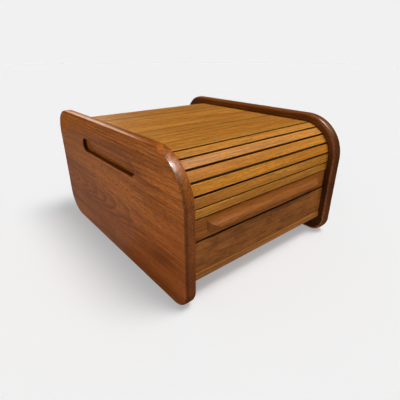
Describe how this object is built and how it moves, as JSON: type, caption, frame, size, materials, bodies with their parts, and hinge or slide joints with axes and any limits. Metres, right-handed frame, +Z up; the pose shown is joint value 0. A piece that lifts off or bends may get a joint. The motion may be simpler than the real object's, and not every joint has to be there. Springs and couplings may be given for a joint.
{
  "type": "bread box",
  "caption": "Wooden bread box whose slatted roll top slides up the front, over the round corner and back, with rounded side panels and a carved pull.",
  "frame": {"origin": "on the surface it stands on, below the middle of the box", "axes": "+Z up, the front with the pull faces -Y, +X to the right seen from the front"},
  "size_m": [0.284, 0.345, 0.18],
  "materials": {
    "teak_side": "oiled teak, satin with rounded glossy edges",
    "teak_slat": "oiled golden teak, satin, each slat its own tone",
    "teak_bar": "oiled red-brown teak, satin",
    "teak_apron": "oiled brown teak, satin",
    "teak_board": "oiled brown teak, satin",
    "plywood": "teak-faced plywood, matt",
    "beech": "plain beech",
    "canvas": "unbleached cotton canvas",
    "brass": "plain brass screws"
  },
  "bodies": {
    "case": {"left_side_panel": "teak_side", "right_side_panel": "teak_side", "bottom_board": "teak_board", "front_apron": "teak_apron", "back_panel": "plywood", "inner_back_panel": "plywood", "left_apron_dowel_low": "beech", "left_apron_dowel_high": "beech", "left_board_dowel_front": "beech", "left_board_dowel_middle": "beech", "left_board_dowel_rear": "beech", "right_apron_dowel_low": "beech", "right_apron_dowel_high": "beech", "right_board_dowel_front": "beech", "right_board_dowel_middle": "beech", "right_board_dowel_rear": "beech", "apron_screw_left": "brass", "back_screw_left": "brass", "apron_screw_middle": "brass", "back_screw_middle": "brass", "apron_screw_right": "brass", "back_screw_right": "brass"},
    "lead_bar_body": {"lead_bar": "teak_bar"},
    "slat_01_body": {"slat_01": "teak_slat"},
    "slat_02_body": {"slat_02": "teak_slat"},
    "slat_03_body": {"slat_03": "teak_slat"},
    "slat_04_body": {"slat_04": "teak_slat"},
    "slat_05_body": {"slat_05": "teak_slat"},
    "slat_06_body": {"slat_06": "teak_slat"},
    "tambour_top": {"slat_07": "teak_slat", "slat_08": "teak_slat", "slat_09": "teak_slat", "slat_10": "teak_slat", "slat_11": "teak_slat", "slat_12": "teak_slat", "slat_13": "teak_slat", "slat_14": "teak_slat", "slat_15": "teak_slat", "slat_16": "teak_slat", "slat_17": "teak_slat", "canvas_backing": "canvas"},
    "slat_18_body": {"slat_18": "teak_slat"},
    "slat_19_body": {"slat_19": "teak_slat"},
    "slat_20_body": {"slat_20": "teak_slat"},
    "slat_21_body": {"slat_21": "teak_slat"},
    "slat_22_body": {"slat_22": "teak_slat"},
    "tambour_rear": {"slat_23": "teak_slat", "slat_24": "teak_slat", "slat_25": "teak_slat"},
    "slat_26_body": {"slat_26": "teak_slat"},
    "slat_27_body": {"slat_27": "teak_slat"},
    "slat_28_body": {"slat_28": "teak_slat"},
    "slat_29_body": {"slat_29": "teak_slat"}
  },
  "joints": [
    {"name": "tambour_slide", "type": "slide", "parent": "case", "child": "tambour_top", "axis": [0, 1, 0], "range_m": [0, 0.093], "deforming": ["canvas_backing"]},
    {"name": "lead_bar_turn", "type": "hinge", "parent": "case", "child": "lead_bar_body", "pos_m": [0, -0.09763, 0.10612], "axis": [-1, 0, 0], "range_deg": [0, 86.29]},
    {"name": "slat_01_turn", "type": "hinge", "parent": "case", "child": "slat_01_body", "pos_m": [0, -0.09999, 0.10749], "axis": [-1, 0, 0], "range_deg": [0, 90]},
    {"name": "slat_02_turn", "type": "hinge", "parent": "case", "child": "slat_02_body", "pos_m": [0, -0.09904, 0.10587], "axis": [-1, 0, 0], "range_deg": [0, 87.41]},
    {"name": "slat_03_turn", "type": "hinge", "parent": "case", "child": "slat_03_body", "pos_m": [0, -0.09274, 0.09147], "axis": [-1, 0, 0], "range_deg": [0, 70.22]},
    {"name": "slat_04_turn", "type": "hinge", "parent": "case", "child": "slat_04_body", "pos_m": [0, -0.08644, 0.06676], "axis": [-1, 0, 0], "range_deg": [0, 53.03]},
    {"name": "slat_05_turn", "type": "hinge", "parent": "case", "child": "slat_05_body", "pos_m": [0, -0.08014, 0.01783], "axis": [-1, 0, 0], "range_deg": [0, 35.84]},
    {"name": "slat_06_turn", "type": "hinge", "parent": "case", "child": "slat_06_body", "pos_m": [0, -0.07384, -0.12051], "axis": [-1, 0, 0], "range_deg": [0, 18.65]},
    {"name": "slat_18_turn", "type": "hinge", "parent": "case", "child": "slat_18_body", "pos_m": [0, 0.06876, -0.94397], "axis": [-1, 0, 0], "range_deg": [0, 4.81]},
    {"name": "slat_19_turn", "type": "hinge", "parent": "case", "child": "slat_19_body", "pos_m": [0, 0.07506, -0.07674], "axis": [-1, 0, 0], "range_deg": [0, 22]},
    {"name": "slat_20_turn", "type": "hinge", "parent": "case", "child": "slat_20_body", "pos_m": [0, 0.08136, 0.03072], "axis": [-1, 0, 0], "range_deg": [0, 39.19]},
    {"name": "slat_21_turn", "type": "hinge", "parent": "case", "child": "slat_21_body", "pos_m": [0, 0.08766, 0.07279], "axis": [-1, 0, 0], "range_deg": [0, 56.38]},
    {"name": "slat_22_turn", "type": "hinge", "parent": "case", "child": "slat_22_body", "pos_m": [0, 0.09396, 0.09487], "axis": [-1, 0, 0], "range_deg": [0, 73.57]},
    {"name": "rear_slats_turn", "type": "hinge", "parent": "case", "child": "tambour_rear", "pos_m": [0, 0.09999, 0.10749], "axis": [-1, 0, 0], "range_deg": [0, 90]},
    {"name": "slat_26_turn", "type": "hinge", "parent": "case", "child": "slat_26_body", "pos_m": [0, 0.0883, 0.10182], "axis": [-1, 0, 0], "range_deg": [0, 74.55]},
    {"name": "slat_27_turn", "type": "hinge", "parent": "case", "child": "slat_27_body", "pos_m": [0, 0.06693, 0.09552], "axis": [-1, 0, 0], "range_deg": [0, 57.36]},
    {"name": "slat_28_turn", "type": "hinge", "parent": "case", "child": "slat_28_body", "pos_m": [0, 0.0266, 0.08922], "axis": [-1, 0, 0], "range_deg": [0, 40.17]},
    {"name": "slat_29_turn", "type": "hinge", "parent": "case", "child": "slat_29_body", "pos_m": [0, -0.0738, 0.08292], "axis": [-1, 0, 0], "range_deg": [0, 22.98]}
  ],
  "couplings": [
    {"joint": "lead_bar_turn", "follows": "tambour_slide", "rad_per_m": 16.193},
    {"joint": "slat_01_turn", "follows": "tambour_slide", "rad_per_m": 16.89},
    {"joint": "slat_02_turn", "follows": "tambour_slide", "rad_per_m": 16.404},
    {"joint": "slat_03_turn", "follows": "tambour_slide", "rad_per_m": 13.178},
    {"joint": "slat_04_turn", "follows": "tambour_slide", "rad_per_m": 9.9522},
    {"joint": "slat_05_turn", "follows": "tambour_slide", "rad_per_m": 6.7264},
    {"joint": "slat_06_turn", "follows": "tambour_slide", "rad_per_m": 3.5006},
    {"joint": "slat_18_turn", "follows": "tambour_slide", "rad_per_m": 0.90286},
    {"joint": "slat_19_turn", "follows": "tambour_slide", "rad_per_m": 4.1287},
    {"joint": "slat_20_turn", "follows": "tambour_slide", "rad_per_m": 7.3545},
    {"joint": "slat_21_turn", "follows": "tambour_slide", "rad_per_m": 10.58},
    {"joint": "slat_22_turn", "follows": "tambour_slide", "rad_per_m": 13.806},
    {"joint": "rear_slats_turn", "follows": "tambour_slide", "rad_per_m": 16.89},
    {"joint": "slat_26_turn", "follows": "tambour_slide", "rad_per_m": 13.99},
    {"joint": "slat_27_turn", "follows": "tambour_slide", "rad_per_m": 10.765},
    {"joint": "slat_28_turn", "follows": "tambour_slide", "rad_per_m": 7.5389},
    {"joint": "slat_29_turn", "follows": "tambour_slide", "rad_per_m": 4.3131}
  ]
}
